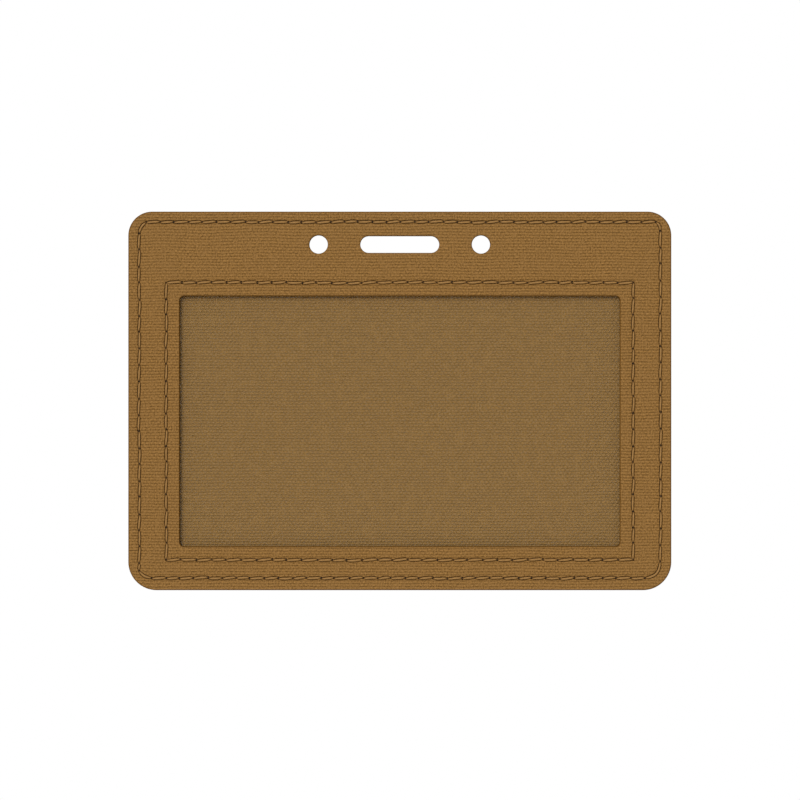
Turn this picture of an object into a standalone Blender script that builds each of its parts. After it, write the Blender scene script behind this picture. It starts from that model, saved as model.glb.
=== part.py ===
"""A sewn badge holder with a clear window, a lanyard slot and two strap holes.

It is built from flat plies, front to back: a leatherette face with a window cut-out, a clear film, a core
board that leaves room for a card, a woven lining, and a leatherette back in two pieces with the card mouth
between them. One seam joins the film to the face, and another joins all the plies round the outline.

Units are metres. +X is to the right, +Z is up and the front faces -Y. The origin is the centre of the
lanyard slot, halfway through the thickness, where the holder hangs.
"""

import math

import bmesh
import bpy
from mathutils import Vector

MM = 0.001

# Outline of the holder
PANEL_WIDTH = 109.3 * MM
PANEL_HEIGHT = 76.2 * MM
TOP_CORNER_RADIUS = 4.8 * MM
BOTTOM_CORNER_RADIUS = 5.7 * MM

# Lanyard slot and strap holes, punched through every ply of the header
SLOT_DROP = 6.6 * MM
SLOT_LENGTH = 15.9 * MM
SLOT_HEIGHT = 3.4 * MM
STRAP_HOLE_DIAMETER = 3.7 * MM
STRAP_HOLE_SPACING = 32.7 * MM

# Window cut-out in the face, and the film sewn behind it
WINDOW_SIDE_MARGIN = 10.25 * MM
WINDOW_TOP_MARGIN = 16.9 * MM
WINDOW_BOTTOM_MARGIN = 8.7 * MM
WINDOW_CORNER_RADIUS = 1.0 * MM
WINDOW_SEAM_OFFSET = 2.6 * MM
FILM_LAP = 1.8 * MM
FILM_CORNER_RADIUS = 1.5 * MM
FILM_CLEARANCE = 0.3 * MM

# Outer seam, measured in from the outline
SEAM_SIDE_INSET = 2.2 * MM
SEAM_TOP_INSET = 2.1 * MM
SEAM_BOTTOM_INSET = 2.4 * MM

# Plies
FACE_THICKNESS = 0.8 * MM
FILM_THICKNESS = 0.2 * MM
LINING_THICKNESS = 0.3 * MM
BACK_THICKNESS = 0.8 * MM
PLY_GAP = 0.05 * MM
RIM_ROUND = 0.2 * MM

# Card that the pocket takes, and how far the mouth's lower edge stays hidden above the window
CARD_THICKNESS = 0.76 * MM
CARD_PLAY = 0.1 * MM
MOUTH_COVER = 0.3 * MM

# Thread, its stitches and the channels that they press into the leatherette
THREAD_DIAMETER = 0.45 * MM
THREAD_SEAT_GAP = 0.05 * MM
CHANNEL_SIDE_GAP = 0.2 * MM
STITCH_BOW = 0.12 * MM
OUTER_STITCH_ACROSS = 2.85 * MM
OUTER_STITCH_DOWN = 3.3 * MM
WINDOW_STITCH_ACROSS = 3.03 * MM
WINDOW_STITCH_DOWN = 3.27 * MM
CREST_START_SHARE = 0.25
CREST_END_SHARE = 0.75

# Fineness of the curved edges
CORNER_STEPS = 8
HOLE_STEPS = 7
WINDOW_STEPS = 4
RIM_SHARES = ((0.0, 1.0), (0.3, 0.3), (1.0, 0.0))
CUTTER_OVERRUN = 0.5 * MM
SAME_POINT = 0.0001 * MM

# Finishes: colour as display values, roughness, and how clear it is
LEATHERETTE = ((0.545, 0.405, 0.225), 0.55, 0.0)
CLEAR_FILM = ((0.93, 0.94, 0.93), 0.12, 0.95)
CORE_BOARD = ((0.36, 0.26, 0.17), 0.85, 0.0)
LINING = ((0.53, 0.41, 0.25), 0.8, 0.0)
THREAD = ((0.64, 0.5, 0.31), 0.5, 0.0)

# Places that follow from the sizes above
TOP = SLOT_DROP
BOTTOM = SLOT_DROP - PANEL_HEIGHT
RIGHT = PANEL_WIDTH / 2
LEFT = -RIGHT
WINDOW_BOX = (
    LEFT + WINDOW_SIDE_MARGIN,
    RIGHT - WINDOW_SIDE_MARGIN,
    BOTTOM + WINDOW_BOTTOM_MARGIN,
    TOP - WINDOW_TOP_MARGIN,
)
CHANNEL_DEPTH = THREAD_DIAMETER + THREAD_SEAT_GAP
CHANNEL_WIDTH = THREAD_DIAMETER + 2 * CHANNEL_SIDE_GAP
STITCH_HEIGHT = THREAD_SEAT_GAP + THREAD_DIAMETER + STITCH_BOW
CARD_GAP = max(CARD_THICKNESS, STITCH_HEIGHT) + CARD_PLAY
CORE_THICKNESS = FILM_THICKNESS + CARD_GAP - PLY_GAP

# Where each ply starts through the thickness
HOLDER_THICKNESS = FACE_THICKNESS + CORE_THICKNESS + LINING_THICKNESS + BACK_THICKNESS + 3 * PLY_GAP
FACE_Y = -HOLDER_THICKNESS / 2
CORE_Y = FACE_Y + FACE_THICKNESS + PLY_GAP
FILM_Y = CORE_Y
LINING_Y = CORE_Y + CORE_THICKNESS + PLY_GAP
BACK_Y = LINING_Y + LINING_THICKNESS + PLY_GAP
BACK_FACE_Y = BACK_Y + BACK_THICKNESS


def clear_scene():
    for obj in list(bpy.data.objects):
        bpy.data.objects.remove(obj, do_unlink=True)


def linear(value):
    """A display colour value from 0 to 1 as the linear value that a shader takes."""
    return value / 12.92 if value <= 0.04045 else ((value + 0.055) / 1.055) ** 2.4


def give_finish(obj, finish):
    colour, roughness, clearness = finish
    material = bpy.data.materials.new(obj.name + "_finish")
    material.use_nodes = True
    shader = material.node_tree.nodes["Principled BSDF"]
    shader.inputs["Base Color"].default_value = (*map(linear, colour), 1.0)
    shader.inputs["Roughness"].default_value = roughness
    shader.inputs["Metallic"].default_value = 0.0
    shader.inputs["Transmission Weight"].default_value = clearness
    obj.data.materials.append(material)


def place(data, name, parent, depth):
    """A new object under the holder's empty, with its local origin at this depth through the thickness."""
    obj = bpy.data.objects.new(name, data)
    bpy.context.scene.collection.objects.link(obj)
    obj.parent = parent
    obj.location.y = depth
    return obj


def grown(box, distance):
    left, right, bottom, top = box
    return (left - distance, right + distance, bottom - distance, top + distance)


def rounded_box(box, bottom_radius, top_radius, bottom_steps, top_steps):
    """Outline points (x, z), anticlockwise from the front, of a box with round corners."""
    left, right, bottom, top = box
    limit = min(right - left, top - bottom) / 2
    low = min(bottom_radius, limit)
    high = min(top_radius, limit)
    corners = (
        (right - low, bottom + low, low, -90, bottom_steps),
        (right - high, top - high, high, 0, top_steps),
        (left + high, top - high, high, 90, top_steps),
        (left + low, bottom + low, low, 180, bottom_steps),
    )
    points = []
    for centre_x, centre_z, radius, start, steps in corners:
        for step in range(steps + 1):
            angle = math.radians(start + 90 * step / steps)
            point = Vector((centre_x + radius * math.cos(angle), centre_z + radius * math.sin(angle)))
            if not points or (point - points[-1]).length > SAME_POINT:
                points.append(point)
    if (points[0] - points[-1]).length <= SAME_POINT:
        points.pop()
    return points


def holder_outline(growth):
    box = grown((LEFT, RIGHT, BOTTOM, TOP), growth)
    return rounded_box(
        box, BOTTOM_CORNER_RADIUS + growth, TOP_CORNER_RADIUS + growth, CORNER_STEPS, CORNER_STEPS
    )


def header_outline(growth):
    """The back strip above the card mouth, square at its lower edge."""
    box = grown((LEFT, RIGHT, mouth_box()[3], TOP), growth)
    return rounded_box(box, 0, TOP_CORNER_RADIUS + growth, CORNER_STEPS, CORNER_STEPS)


def pocket_back_outline(growth):
    """The back below the card mouth, square at its upper edge."""
    box = grown((LEFT, RIGHT, BOTTOM, mouth_box()[2]), growth)
    return rounded_box(box, BOTTOM_CORNER_RADIUS + growth, 0, CORNER_STEPS, CORNER_STEPS)


def window_outline(growth):
    radius = WINDOW_CORNER_RADIUS + growth
    return rounded_box(grown(WINDOW_BOX, growth), radius, radius, WINDOW_STEPS, WINDOW_STEPS)


def film_box():
    return grown(WINDOW_BOX, WINDOW_SEAM_OFFSET + FILM_LAP)


def film_outline(growth):
    radius = FILM_CORNER_RADIUS + growth
    return rounded_box(grown(film_box(), growth), radius, radius, WINDOW_STEPS, WINDOW_STEPS)


def pocket_outline(growth):
    """The opening in the core board, which the film and the card lie in."""
    radius = FILM_CORNER_RADIUS + FILM_CLEARANCE + growth
    box = grown(film_box(), FILM_CLEARANCE + growth)
    return rounded_box(box, radius, radius, WINDOW_STEPS, WINDOW_STEPS)


def mouth_box():
    """From the top of the pocket down to just above the window, so that it doesn't show from the front."""
    left, right, _, top = grown(film_box(), FILM_CLEARANCE)
    return (left, right, WINDOW_BOX[3] + MOUTH_COVER, top)


def mouth_outline(growth):
    return rounded_box(grown(mouth_box(), growth), 0, 0, WINDOW_STEPS, WINDOW_STEPS)


def slot_outline(growth):
    box = (-SLOT_LENGTH / 2, SLOT_LENGTH / 2, -SLOT_HEIGHT / 2, SLOT_HEIGHT / 2)
    radius = SLOT_HEIGHT / 2 + growth
    return rounded_box(grown(box, growth), radius, radius, HOLE_STEPS, HOLE_STEPS)


def strap_hole_outline(side):
    """A function that gives the outline of the strap hole on this side, -1 or 1."""

    def outline(growth):
        centre = side * STRAP_HOLE_SPACING / 2
        radius = STRAP_HOLE_DIAMETER / 2 + growth
        box = (centre - radius, centre + radius, -radius, radius)
        return rounded_box(box, radius, radius, HOLE_STEPS, HOLE_STEPS)

    return outline


PUNCHED = (slot_outline, strap_hole_outline(-1), strap_hole_outline(1))


def ring_of(bm, points, depth):
    return [bm.verts.new((x, depth, z)) for x, z in points]


def join_rings(bm, first, second):
    """A band of quads between two rings of as many points."""
    for index, near in enumerate(first):
        after = (index + 1) % len(first)
        bm.faces.new((near, first[after], second[after], second[index]))


def fill_rings(bm, rings):
    """One flat cap bounded by the first ring, with the other rings as holes in it."""
    edges = []
    for ring in rings:
        for index, vert in enumerate(ring):
            edges.append(bm.edges.get((vert, ring[(index + 1) % len(ring)])))
    bmesh.ops.triangle_fill(bm, use_beauty=True, use_dissolve=False, edges=edges)


def mesh_from(bm, name):
    bmesh.ops.recalc_face_normals(bm, faces=bm.faces)
    mesh = bpy.data.meshes.new(name)
    bm.to_mesh(mesh)
    bm.free()
    return mesh


def sheet_levels(thickness, round_front, round_back):
    """(depth, how far the edge is drawn back) through one ply, front to back, with its rims rounded."""
    rounded = [(RIM_ROUND * depth, RIM_ROUND * inset) for depth, inset in RIM_SHARES]
    square = [(0, 0)]
    front = rounded if round_front else square
    back = rounded if round_back else square
    return front + [(thickness - depth, inset) for depth, inset in reversed(back)]


def sheet(name, parent, depth, thickness, outline, openings=(), round_front=False, round_back=False):
    """A flat ply: an outline with openings through it, from this depth backwards."""
    levels = sheet_levels(thickness, round_front, round_back)
    bm = bmesh.new()
    caps = ([], [])
    for shape, direction in ((outline, -1), *((opening, 1) for opening in openings)):
        rings = [ring_of(bm, shape(direction * inset), level) for level, inset in levels]
        for first, second in zip(rings, rings[1:]):
            join_rings(bm, first, second)
        caps[0].append(rings[0])
        caps[1].append(rings[-1])
    for rings in caps:
        fill_rings(bm, rings)
    return place(mesh_from(bm, name), name, parent, depth)


def corner_stitches(radius):
    """How many straight stitches turn a seam through a quarter circle of this radius."""
    return max(1, round(math.radians(90) * radius / OUTER_STITCH_ACROSS))


def outer_seam_path():
    """Corner points of the outer seam. Each corner is turned in a few straight stitches."""
    box = (
        LEFT + SEAM_SIDE_INSET,
        RIGHT - SEAM_SIDE_INSET,
        BOTTOM + SEAM_BOTTOM_INSET,
        TOP - SEAM_TOP_INSET,
    )
    bottom_radius = BOTTOM_CORNER_RADIUS - SEAM_SIDE_INSET
    top_radius = TOP_CORNER_RADIUS - SEAM_SIDE_INSET
    steps = (corner_stitches(bottom_radius), corner_stitches(top_radius))
    return rounded_box(box, bottom_radius, top_radius, *steps)


def window_seam_path():
    return rounded_box(grown(WINDOW_BOX, WINDOW_SEAM_OFFSET), 0, 0, 1, 1)


def offset_path(path, distance):
    """The closed path moved outwards by this distance, with mitred corners."""
    moved = []
    for index, point in enumerate(path):
        before = (point - path[index - 1]).normalized()
        after = (path[(index + 1) % len(path)] - point).normalized()
        normal_before = Vector((before.y, -before.x))
        normal_after = Vector((after.y, -after.x))
        mitre = (normal_before + normal_after) / (1 + normal_before.dot(normal_after))
        moved.append(point + mitre * distance)
    return moved


def channel_cutter(name, parent, path, face_depth, inwards):
    """A closed ring as wide and deep as a pressed channel. inwards is 1 from the front, -1 from the back."""
    near = -inwards * CUTTER_OVERRUN
    far = inwards * CHANNEL_DEPTH
    outer = offset_path(path, CHANNEL_WIDTH / 2)
    inner = offset_path(path, -CHANNEL_WIDTH / 2)
    section = ((outer, near), (outer, far), (inner, far), (inner, near))
    bm = bmesh.new()
    rings = [ring_of(bm, points, level) for points, level in section]
    for index, ring in enumerate(rings):
        join_rings(bm, ring, rings[(index + 1) % len(rings)])
    cutter = place(mesh_from(bm, name), name, parent, face_depth)
    cutter.hide_render = True
    cutter.display_type = "WIRE"
    return cutter


def cut(obj, cutter):
    modifier = obj.modifiers.new(cutter.name, "BOOLEAN")
    modifier.operation = "DIFFERENCE"
    modifier.object = cutter


def stitched_points(path, across, down, outwards):
    """Centre points of a thread along the path: down at each needle hole, bowed outwards between them."""
    points = []
    for index, start in enumerate(path):
        end = path[(index + 1) % len(path)]
        run = end - start
        stitch = across if abs(run.x) > abs(run.y) else down
        count = max(1, round(run.length / stitch))
        for number in range(count):
            for share, lift in ((0.0, 0.0), (CREST_START_SHARE, STITCH_BOW), (CREST_END_SHARE, STITCH_BOW)):
                x, z = start + run * (number + share) / count
                points.append((x, outwards * lift, z))
    return points


def thread(name, parent, depth, points):
    """One endless thread, round in section, laid along its points."""
    curve = bpy.data.curves.new(name, "CURVE")
    curve.dimensions = "3D"
    curve.fill_mode = "FULL"
    curve.bevel_depth = THREAD_DIAMETER / 2
    curve.bevel_resolution = 0
    spline = curve.splines.new("POLY")
    spline.points.add(len(points) - 1)
    for target, point in zip(spline.points, points):
        target.co = (*point, 1.0)
    spline.use_cyclic_u = True
    return place(curve, name, parent, depth)


def make_face(parent):
    face = sheet(
        "front_panel",
        parent,
        FACE_Y,
        FACE_THICKNESS,
        holder_outline,
        (window_outline, *PUNCHED),
        round_front=True,
    )
    cut(face, channel_cutter("front_outer_channel", parent, outer_seam_path(), FACE_Y, 1))
    cut(face, channel_cutter("front_window_channel", parent, window_seam_path(), FACE_Y, 1))
    give_finish(face, LEATHERETTE)


def make_inner_plies(parent):
    film = sheet("window_film", parent, FILM_Y, FILM_THICKNESS, film_outline)
    give_finish(film, CLEAR_FILM)
    core = sheet("core_board", parent, CORE_Y, CORE_THICKNESS, holder_outline, (pocket_outline, *PUNCHED))
    give_finish(core, CORE_BOARD)
    openings = (mouth_outline, *PUNCHED)
    lining = sheet("pocket_lining", parent, LINING_Y, LINING_THICKNESS, holder_outline, openings)
    give_finish(lining, LINING)


def make_back(parent):
    channel = channel_cutter("back_outer_channel", parent, outer_seam_path(), BACK_FACE_Y, -1)
    header = sheet("back_header", parent, BACK_Y, BACK_THICKNESS, header_outline, PUNCHED, round_back=True)
    pocket_back = sheet("back_panel", parent, BACK_Y, BACK_THICKNESS, pocket_back_outline, round_back=True)
    for piece in (header, pocket_back):
        cut(piece, channel)
        give_finish(piece, LEATHERETTE)


def make_threads(parent):
    outer = (outer_seam_path(), OUTER_STITCH_ACROSS, OUTER_STITCH_DOWN)
    window = (window_seam_path(), WINDOW_STITCH_ACROSS, WINDOW_STITCH_DOWN)
    # At a needle hole the thread is flush with the leatherette, a seat gap above the channel's floor.
    front_depth = FACE_Y + THREAD_DIAMETER / 2
    back_depth = BACK_FACE_Y - THREAD_DIAMETER / 2
    film_depth = FILM_Y + FILM_THICKNESS + THREAD_SEAT_GAP + THREAD_DIAMETER / 2
    seams = (
        ("perimeter_needle_thread", outer, front_depth, -1),
        ("perimeter_bobbin_thread", outer, back_depth, 1),
        ("window_needle_thread", window, front_depth, -1),
        ("window_bobbin_thread", window, film_depth, 1),
    )
    for name, seam, depth, outwards in seams:
        give_finish(thread(name, parent, depth, stitched_points(*seam, outwards)), THREAD)


def main():
    clear_scene()
    holder = bpy.data.objects.new("badge_holder", None)
    bpy.context.scene.collection.objects.link(holder)
    make_face(holder)
    make_inner_plies(holder)
    make_back(holder)
    make_threads(holder)


main()
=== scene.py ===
"""Looks of the sewn badge holder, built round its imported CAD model.

The leatherette face and back, the clear window, the woven lining and the four threads are modelled again
here as finer meshes. The core board keeps its CAD shape. Units are metres, in the CAD model's frame: +X is
to the right, +Z is up, the front faces -Y and the origin is the middle of the lanyard slot.
"""

import math
import random
from collections import namedtuple

import bmesh
import bpy
import numpy
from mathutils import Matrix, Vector, geometry, noise


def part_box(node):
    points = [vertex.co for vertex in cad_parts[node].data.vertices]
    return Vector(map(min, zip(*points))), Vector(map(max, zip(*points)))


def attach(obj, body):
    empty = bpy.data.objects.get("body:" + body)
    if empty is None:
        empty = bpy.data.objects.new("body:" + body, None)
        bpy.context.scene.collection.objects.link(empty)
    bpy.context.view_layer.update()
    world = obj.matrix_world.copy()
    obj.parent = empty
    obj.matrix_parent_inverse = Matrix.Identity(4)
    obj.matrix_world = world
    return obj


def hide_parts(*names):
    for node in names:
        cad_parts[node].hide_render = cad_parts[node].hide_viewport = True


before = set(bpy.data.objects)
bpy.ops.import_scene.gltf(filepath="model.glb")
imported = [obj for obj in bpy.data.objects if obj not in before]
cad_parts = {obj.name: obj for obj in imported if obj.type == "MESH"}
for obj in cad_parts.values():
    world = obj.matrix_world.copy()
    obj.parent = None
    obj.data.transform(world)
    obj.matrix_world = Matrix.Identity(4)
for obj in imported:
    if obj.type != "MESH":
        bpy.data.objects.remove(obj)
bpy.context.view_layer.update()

MM = 0.001
PIECE_BODY = "root"

# The photograph's frame, and the holder's outline in it, in pixels
PHOTO_SIDE_PIXELS = 800
PANEL_WIDTH_PIXELS = 543.1
PANEL_CENTRE_PIXELS = (399.8, 400.9)

# Camera
CAMERA_DISTANCE = 1.2
SENSOR_WIDTH_MM = 36.0

# Shape of the holder, as the CAD has it
TOP_CORNER_RADIUS = 4.8 * MM
BOTTOM_CORNER_RADIUS = 5.7 * MM
SLOT_LENGTH = 15.9 * MM
SLOT_HEIGHT = 3.4 * MM
STRAP_HOLE_DIAMETER = 3.7 * MM
STRAP_HOLE_SPACING = 32.7 * MM
WINDOW_SIDE_MARGIN = 10.25 * MM
WINDOW_TOP_MARGIN = 16.9 * MM
WINDOW_BOTTOM_MARGIN = 8.7 * MM
WINDOW_CORNER_RADIUS = 1.0 * MM
WINDOW_SEAM_OFFSET = 2.6 * MM
SEAM_SIDE_INSET = 2.2 * MM
SEAM_TOP_INSET = 2.1 * MM
SEAM_BOTTOM_INSET = 2.4 * MM
FILM_CORNER_RADIUS = 1.5 * MM
FILM_CLEARANCE = 0.3 * MM

# Stitches, and how each corner of the outer seam is cut by one slanted stitch
OUTER_STITCH_ACROSS = 2.85 * MM
OUTER_STITCH_DOWN = 3.3 * MM
WINDOW_STITCH_ACROSS = 3.03 * MM
WINDOW_STITCH_DOWN = 3.27 * MM
TOP_LEFT_CUT = (1.4 * MM, 2.3 * MM)
TOP_RIGHT_CUT = (0.9 * MM, 1.8 * MM)
BOTTOM_LEFT_CUT = (2.5 * MM, 1.5 * MM)
BOTTOM_RIGHT_CUT = (3.1 * MM, 3.4 * MM)
TOP_CUT_BOW = 0.3 * MM
BOTTOM_LEFT_CUT_BOW = 0.35 * MM
BOTTOM_RIGHT_CUT_BOW = 1.05 * MM
HALF_STITCH = 1.5 * MM
HOLE_JITTER_ALONG = 0.17 * MM
HOLE_JITTER_ACROSS = 0.1 * MM
STITCH_BOW = 0.07 * MM
STITCH_LEAN_ACROSS = 0.11 * MM
STITCH_LEAN_UPRIGHT = 0.08 * MM
STITCH_LEAN_LENGTH = 0.4 * MM
ACROSS_WIDENING_SHARE = 0.11
SEAM_SEED = 11

# Thread. Its rings of vertices lie at these steps from each needle hole, and at these shares of each stitch
THREAD_RADIUS = 0.21 * MM
THREAD_CREST = 0.1 * MM
THREAD_PLIES = 3
PLY_BULGE_SHARE = 0.09
PLY_TWIST = 1.5 * MM
THREAD_SIDES = 12
THREAD_DIVE = 0.62 * MM
THREAD_DIVE_LENGTH = 0.3 * MM
THREAD_DIVE_SHARPNESS = 3
THREAD_NECK_SHARE = 0.35
THREAD_NECK_LENGTH = 0.6 * MM
THREAD_STEPS_MM = (0.08, 0.15, 0.21, 0.26, 0.31, 0.37, 0.45, 0.57, 0.72, 0.9)
THREAD_MIDDLE_SHARES = (0.32, 0.41, 0.5, 0.59, 0.68)

# The back thread dips by this much at the card mouth, from so far outside each of its edges to so far inside
MOUTH_DIP = 0.35 * MM
MOUTH_DIP_OUTSIDE = 0.8 * MM
MOUTH_DIP_INSIDE = 0.4 * MM

# Pressed channel and needle holes in the leatherette, and the name of each vertex's record of how much
# painted shade it gets from how deep it lies in them
CHANNEL_DEPTH = 0.34 * MM
CHANNEL_HALF_WIDTH = 0.385 * MM
CHANNEL_END_HALF_WIDTH = 0.24 * MM
CHANNEL_OPENING_LENGTH = 0.8 * MM
CHANNEL_WALL_WIDTH = 0.13 * MM
NEEDLE_HOLE_DEPTH = 0.7 * MM
NEEDLE_HOLE_FLOOR_RADIUS = 0.18 * MM
NEEDLE_HOLE_RADIUS = 0.32 * MM
NEEDLE_HOLE_SIZE_SHARES = (0.55, 1.05)
# The colour starts to get painted shade at the first of these depths and is fully shaded at the second
HOLE_SHADE_START = 0.15 * MM
HOLE_SHADE_END = 0.58 * MM
PILLOW_DEPTH = 0.05 * MM
PILLOW_START = 0.5 * MM
PILLOW_END = 0.8 * MM
PUCKER_DEPTH = 0.04 * MM
PUCKER_RADIUS = 0.8 * MM
HOLE_SHADE = "hole_shade"

# The strip of leatherette along a seam has vertices at these distances to each side of it, at these steps
# along it from each hole, and at these shares of each stitch
BAND_OFFSETS_MM = (1.0, 0.88, 0.74, 0.62, 0.5, 0.43, 0.39, 0.35, 0.3, 0.25, 0.19, 0.1)
BAND_STEPS_MM = (0.1, 0.17, 0.24, 0.31, 0.4, 0.55, 0.8)
BAND_MIDDLE_SHARES = (0.35, 0.5, 0.65)

# Edges: how wide and deep the rim is rounded, how far the cut slants inwards, and how many bands of faces
# from the hidden side up have the cut edge's material, whose darkness is partly painted shade
Rim = namedtuple("Rim", "width depth slant cut_bands")
OUTLINE_RIM = Rim(width=0.32 * MM, depth=0.32 * MM, slant=0.0, cut_bands=5)
# Round the window the cut slants inwards so that its dark edge shows from the front as a thin line of painted
# shade
WINDOW_RIM = Rim(width=0.16 * MM, depth=0.14 * MM, slant=0.13 * MM, cut_bands=3)
PUNCHED_RIM = Rim(width=0.5 * MM, depth=0.25 * MM, slant=0.0, cut_bands=3)
RIM_STEPS = 5
FINISHED_SLOT = 0
CUT_SLOT = 1
SUPPORT_WIDTH = 0.08 * MM
CORNER_STEPS = 20
HOLE_STEPS = 18
WINDOW_STEPS = 8
SHARP_DEGREES = 70

# Flat areas are first filled with triangles everywhere inside their outer loop, holes too. Points closer
# together than the tolerance count as one
FILL_ALL_INSIDE = 1
FILL_TOLERANCE_MM = 1e-6

# Sheets that aren't quite flat
PATCH_CELL = 1.5 * MM
FILM_BOW = 0.12 * MM
FILM_RIPPLE = 0.03 * MM
FILM_RIPPLE_LENGTH = 16 * MM
FILM_RIPPLE_SEED = 0.5
LINING_RIPPLE = 0.04 * MM
LINING_RIPPLE_LENGTH = 12 * MM
LINING_RIPPLE_SEED = 3.5
PATCH_MARGIN = 1.0 * MM

# Weave that the leatherette is embossed with, and the lining's own. Over each span of its noise, a pattern
# goes from its least to its most
ROW_PITCH = 0.594 * MM
COLUMN_PITCH = 0.58 * MM
KNOT_PITCH = 0.86 * MM
GRAIN_SIZE = 0.25 * MM
DRIFT_SIZE = 14 * MM
KNOTTY_PATCH_SIZE = 1.5 * MM
UPRIGHT_PATCH_SIZE = 1.6 * MM
KNOTTY_SPAN = (0.35, 0.65)
UPRIGHT_SPAN = (0.54, 0.68)
GRAIN_SPAN = (0.25, 0.75)

# drift sets how far whole rows stray. stray_size is the size of the small waves in them, and stray_across and
# stray_up set how far these go. knot_shares are the weakest and the strongest knots. column_share is how far
# upright lines take the rows' place in some patches, and grain_share is the strength of the random grain
Weave = namedtuple("Weave", "drift stray_size stray_across stray_up knot_shares column_share grain_share")
LEATHERETTE_WEAVE = Weave(
    drift=0.8 * MM,
    stray_size=1.1 * MM,
    stray_across=0.7 * MM,
    stray_up=0.17 * MM,
    knot_shares=(0.15, 0.4),
    column_share=0.5,
    grain_share=1.05,
)
LINING_WEAVE = Weave(
    drift=0.5 * MM,
    stray_size=2.5 * MM,
    stray_across=0.2 * MM,
    stray_up=0.1 * MM,
    knot_shares=(0.45, 0.55),
    column_share=0.3,
    grain_share=0.15,
)

# Colours of the materials, as linear red, green and blue. A tone span gives the heights of the weave that
# get the groove's colour and the crest's
LEATHERETTE_GROOVE = (0.12, 0.0548, 0.0087)
LEATHERETTE_CREST = (0.381, 0.193, 0.047)
LEATHERETTE_WORN = (0.24, 0.121, 0.03)
LEATHERETTE_WORN_SHARE = 0.2
# Painted shade deep in the channels and needle holes
LEATHERETTE_HOLE_SHADE = (0.03, 0.012, 0.003)
LEATHERETTE_TONE_SPAN = (-0.4, 1.65)
# The cut edge is darker than the face, partly as its own finish and partly as painted shade
CUT_EDGE_AND_SHADE_DARK = (0.12, 0.052, 0.008)
CUT_EDGE_AND_SHADE_LIGHT = (0.21, 0.096, 0.017)
LINING_GROOVE = (0.241, 0.131, 0.0302)
LINING_CREST = (0.338, 0.181, 0.0425)
LINING_TONE_SPAN = (0.0, 1.3)
FILM_COLOUR = (0.17, 0.17, 0.16)
THREAD_DARK = (0.24, 0.118, 0.025)
THREAD_LIGHT = (0.38, 0.2, 0.052)
# Painted shade where the thread dives into a hole
THREAD_HOLE_SHADE = (0.03, 0.013, 0.004)
BOARD_DARK = (0.06, 0.032, 0.014)
BOARD_LIGHT = (0.16, 0.09, 0.045)

# Other finish: the span and sizes of the materials' noise, the heights of their bumps, and their gloss
SOFT_SPAN = (0.3, 0.7)
WORN_PATCH_SIZE = 5 * MM
EDGE_MOTTLE_SIZE = 0.5 * MM
FILM_HAZE_SIZE = 5 * MM
THREAD_FILAMENT_SIZE = 0.12 * MM
BOARD_FIBRE_SIZE = 0.3 * MM
BOARD_FIBRE_ROUGHNESS = 0.7
LEATHERETTE_BUMP = 0.092 * MM
LINING_BUMP = 0.16 * MM
EDGE_BUMP = 0.02 * MM
FILM_BUMP = 0.02 * MM
THREAD_BUMP = 0.02 * MM
BOARD_BUMP = 0.04 * MM
LEATHERETTE_ROUGHNESS = (0.7, 0.55)
FILM_ROUGHNESS = (0.1, 0.2)
FILM_REFLECTION = 0.046
FILM_GLOSS_SHARPNESS = 5.0

# Stage and light
FLOOR_DROP = 0.2
FLOOR_SIZE = 2.4
FLOOR_COLOUR = (0.8, 0.8, 0.79)
SOFT_LIGHT = 0.44
KEY_LIGHT = 1.9
KEY_DIRECTION = (0.29, 0.92, -0.32)
BACK_LIGHT = 1.6
BACK_DIRECTION = (-0.14, -0.95, -0.28)
LAMP_SPREAD_DEGREES = 24

# Places that follow from the frame
FACE_LOW, FACE_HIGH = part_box("front_panel")
FILM_LOW, FILM_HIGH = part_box("window_film")
LINING_LOW, LINING_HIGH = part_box("pocket_lining")
BACK_HEADER_LOW, BACK_HEADER_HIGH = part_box("back_header")
BACK_PANEL_LOW, BACK_PANEL_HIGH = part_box("back_panel")
LEFT, RIGHT = FACE_LOW.x, FACE_HIGH.x
BOTTOM, TOP = FACE_LOW.z, FACE_HIGH.z
WINDOW_BOX = (
    LEFT + WINDOW_SIDE_MARGIN,
    RIGHT - WINDOW_SIDE_MARGIN,
    BOTTOM + WINDOW_BOTTOM_MARGIN,
    TOP - WINDOW_TOP_MARGIN,
)
FILM_BOX = (FILM_LOW.x, FILM_HIGH.x, FILM_LOW.z, FILM_HIGH.z)
MOUTH_BOTTOM, MOUTH_TOP = BACK_PANEL_HIGH.z, BACK_HEADER_LOW.z

# A place along a seam: its point, sideways direction, distance from the nearest hole and that hole's size
Sample = namedtuple("Sample", "point sideways from_hole hole_size_share")


def smooth(low, high, value):
    """0 below low, 1 above high, and an even curve between them."""
    share = min(1.0, max(0.0, (value - low) / (high - low)))
    return share * share * (3 - 2 * share)


def grown(box, distance):
    left, right, bottom, top = box
    return (left - distance, right + distance, bottom - distance, top + distance)


def rounded_box(box, bottom_radius, top_radius, steps):
    """Outline points (x, z), anticlockwise from the front, of a box with round corners."""
    left, right, bottom, top = box
    corners = (
        (right - bottom_radius, bottom + bottom_radius, bottom_radius, -90),
        (right - top_radius, top - top_radius, top_radius, 0),
        (left + top_radius, top - top_radius, top_radius, 90),
        (left + bottom_radius, bottom + bottom_radius, bottom_radius, 180),
    )
    points = []
    for centre_x, centre_z, radius, start in corners:
        for step in range(steps + 1 if radius > 0 else 1):
            angle = math.radians(start + 90 * step / steps)
            x = centre_x + radius * math.cos(angle)
            z = centre_z + radius * math.sin(angle)
            points.append(Vector((x, z)))
    return points


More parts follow.
